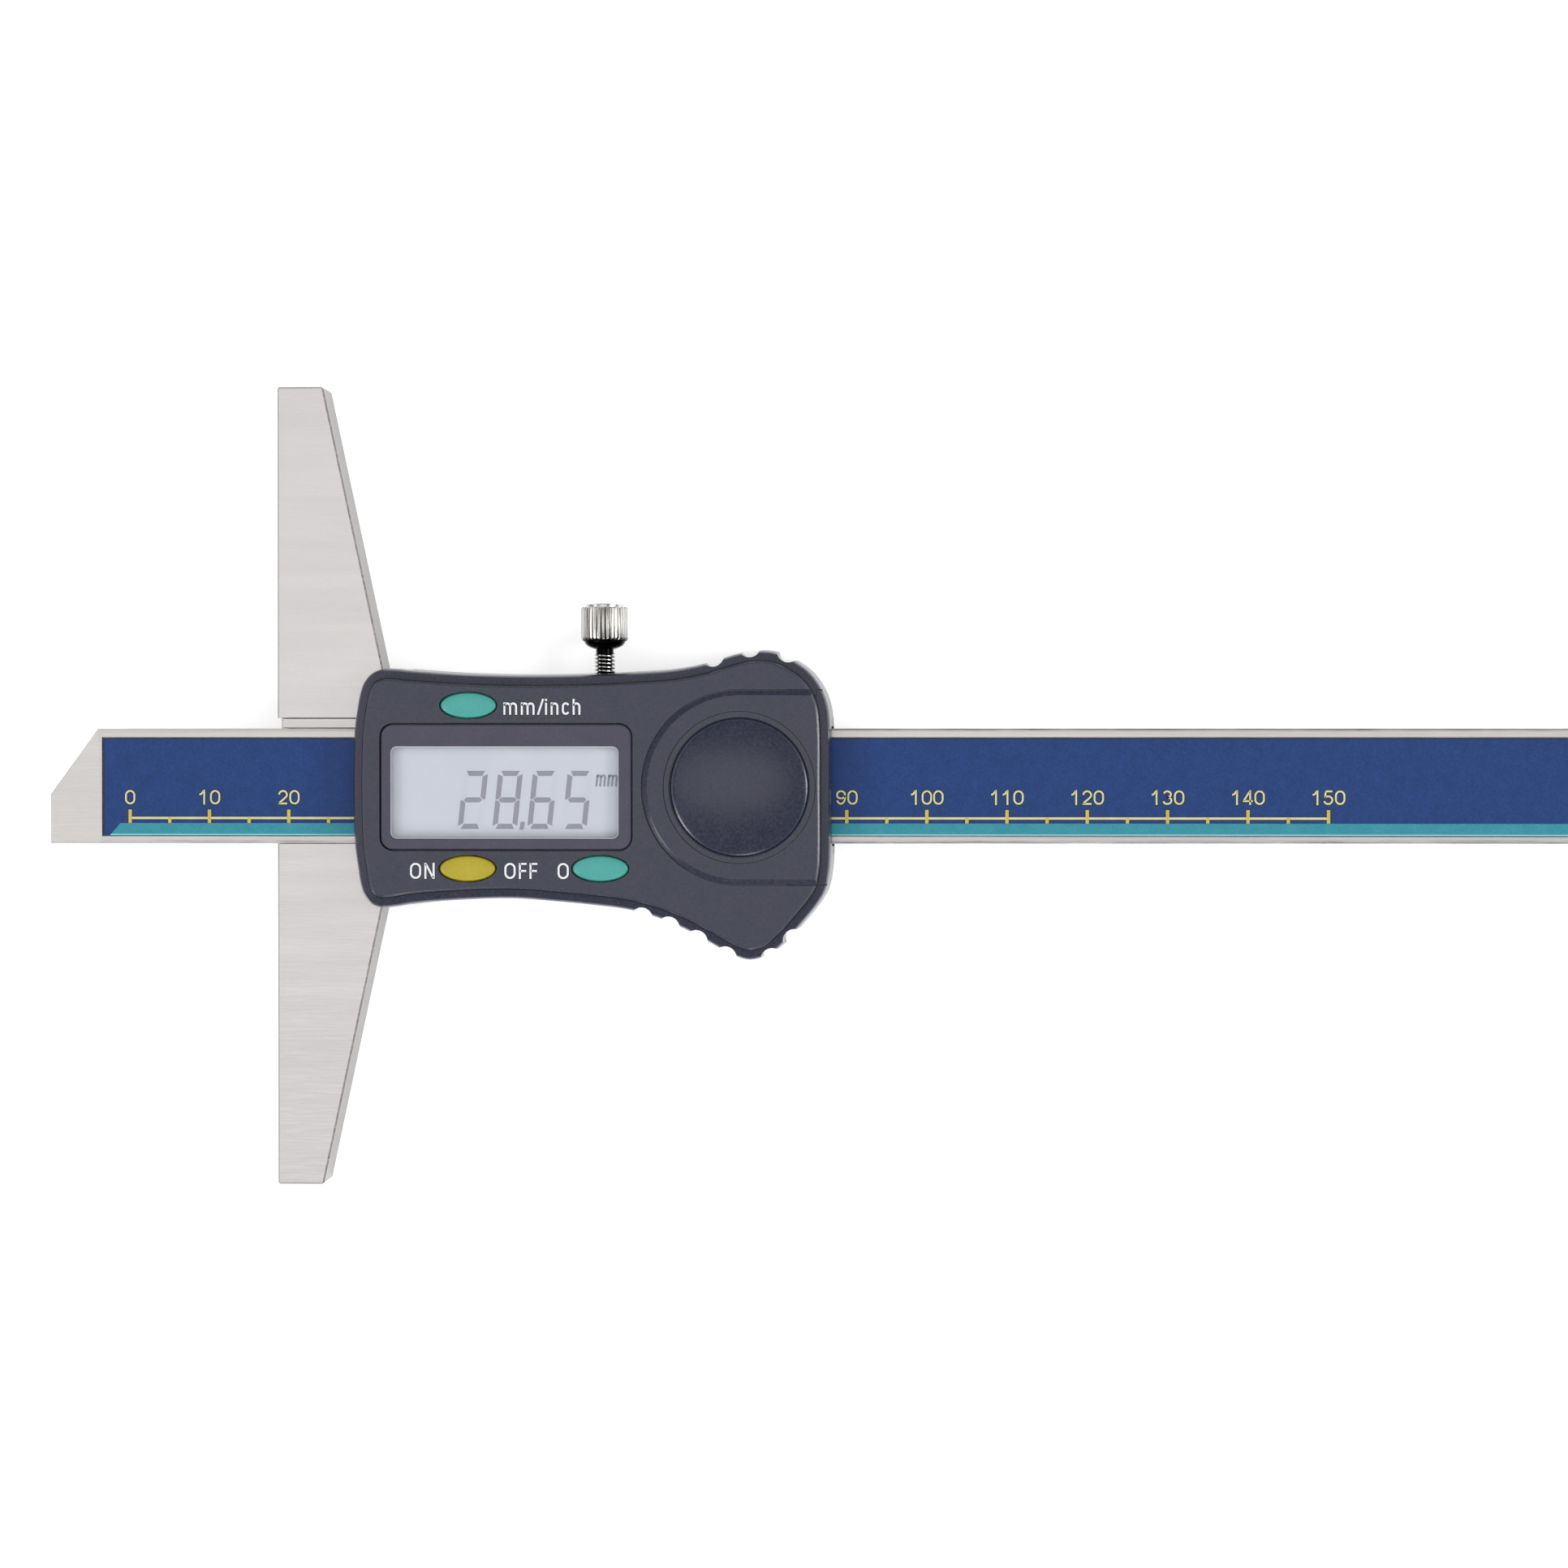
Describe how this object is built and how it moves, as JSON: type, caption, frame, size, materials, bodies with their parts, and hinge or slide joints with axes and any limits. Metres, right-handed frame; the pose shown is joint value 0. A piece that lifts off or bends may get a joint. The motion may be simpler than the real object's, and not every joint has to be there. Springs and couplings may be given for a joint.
{
  "type": "depth gauge",
  "caption": "Digital depth gauge with a steel bridge, a sliding flat bar with a printed scale, a display housing, a knurled lock screw and a sliding battery cover.",
  "frame": {"origin": "middle of the bridge's measuring face, halfway through the bridge's thickness", "axes": "+X along the bar, away from its tip; +Y along the bridge, towards the lock screw; +Z out of the display"},
  "size_m": [0.228, 0.1, 0.014],
  "materials": {
    "ground_steel": "satin ground stainless steel, brushed along its length",
    "milled_steel": "milled steel",
    "gib_metal": "satin bronze, nickel plated",
    "screw_steel": "zinc plated steel",
    "dark_nickel": "nickel plated, knurled",
    "brass": "turned brass",
    "cell_steel": "plated steel can",
    "contact_spring": "gold plated spring strip",
    "housing_plastic": "moulded, fine grain, dark slate",
    "bezel_plastic": "moulded, satin, slate violet",
    "button_teal": "moulded, satin teal",
    "button_yellow": "moulded, satin yellow",
    "window_clear": "clear polished window",
    "lcd_grey": "grey liquid crystal display with printed segments",
    "label_print": "printed film, dark blue with a teal stripe and pale yellow marks",
    "grating_laminate": "green glass-fibre laminate",
    "board_laminate": "green solder mask",
    "chip_resin": "black cast resin",
    "zebra_rubber": "layered conductive rubber",
    "silicone": "moulded silicone"
  },
  "bodies": {
    "slider": {"measuring_base": "ground_steel", "slider_frame": "milled_steel", "gib_strip": "gib_metal", "gib_set_screw_1": "screw_steel", "gib_set_screw_2": "screw_steel", "base_screw_1": "screw_steel", "base_screw_2": "screw_steel", "dowel_pin_1": "screw_steel", "dowel_pin_2": "screw_steel", "housing_shell": "housing_plastic", "back_cover": "housing_plastic", "case_screw_1": "screw_steel", "case_screw_2": "screw_steel", "case_screw_3": "screw_steel", "case_screw_4": "screw_steel", "display_bezel": "bezel_plastic", "display_window": "window_clear", "lcd_panel": "lcd_grey", "zebra_strip_1": "zebra_rubber", "zebra_strip_2": "zebra_rubber", "circuit_board": "board_laminate", "processor_chip": "chip_resin", "crystal_can": "cell_steel", "board_screw_1": "screw_steel", "board_screw_2": "screw_steel", "switch_dome_units": "silicone", "switch_dome_power": "silicone", "switch_dome_zero": "silicone", "battery": "cell_steel", "battery_contact_back": "contact_spring", "battery_contact_side": "contact_spring"},
    "measuring_bar": {"beam": "ground_steel", "grating_strip": "grating_laminate", "scale_label": "label_print", "beam_stop": "ground_steel", "stop_screw_1": "screw_steel", "stop_screw_2": "screw_steel"},
    "lid": {"battery_cover": "housing_plastic"},
    "lock_slug": {"lock_pad": "brass"},
    "lock_knob": {"lock_screw": "dark_nickel"},
    "units_key": {"button_units": "button_teal"},
    "power_key": {"button_power": "button_yellow"},
    "zero_key": {"button_zero": "button_teal"}
  },
  "joints": [
    {"name": "beam_slide", "type": "slide", "parent": "slider", "child": "measuring_bar", "axis": [-1, 0, 0], "range_m": [-0.02865, 0.12135]},
    {"name": "lid_slide", "type": "slide", "parent": "slider", "child": "lid", "axis": [1, 0, 0], "range_m": [0, 0.026]},
    {"name": "lock_travel", "type": "slide", "parent": "slider", "child": "lock_slug", "axis": [0, -1, 0], "range_m": [-0.0009, 0.00011]},
    {"name": "lock_turn", "type": "hinge", "parent": "lock_slug", "child": "lock_knob", "pos_m": [0.041, 0, 0.00225], "axis": [0, -1, 0], "range_deg": [-720, 90]},
    {"name": "units_press", "type": "slide", "parent": "slider", "child": "units_key", "axis": [0, 0, -1], "range_m": [0, 0.0004], "stiffness_N_per_m": 800, "deforming": ["switch_dome_units"]},
    {"name": "power_press", "type": "slide", "parent": "slider", "child": "power_key", "axis": [0, 0, -1], "range_m": [0, 0.0004], "stiffness_N_per_m": 800, "deforming": ["switch_dome_power"]},
    {"name": "zero_press", "type": "slide", "parent": "slider", "child": "zero_key", "axis": [0, 0, -1], "range_m": [0, 0.0004], "stiffness_N_per_m": 800, "deforming": ["switch_dome_zero"]}
  ],
  "couplings": [
    {"joint": "lock_turn", "follows": "lock_travel", "rad_per_m": 13963}
  ]
}
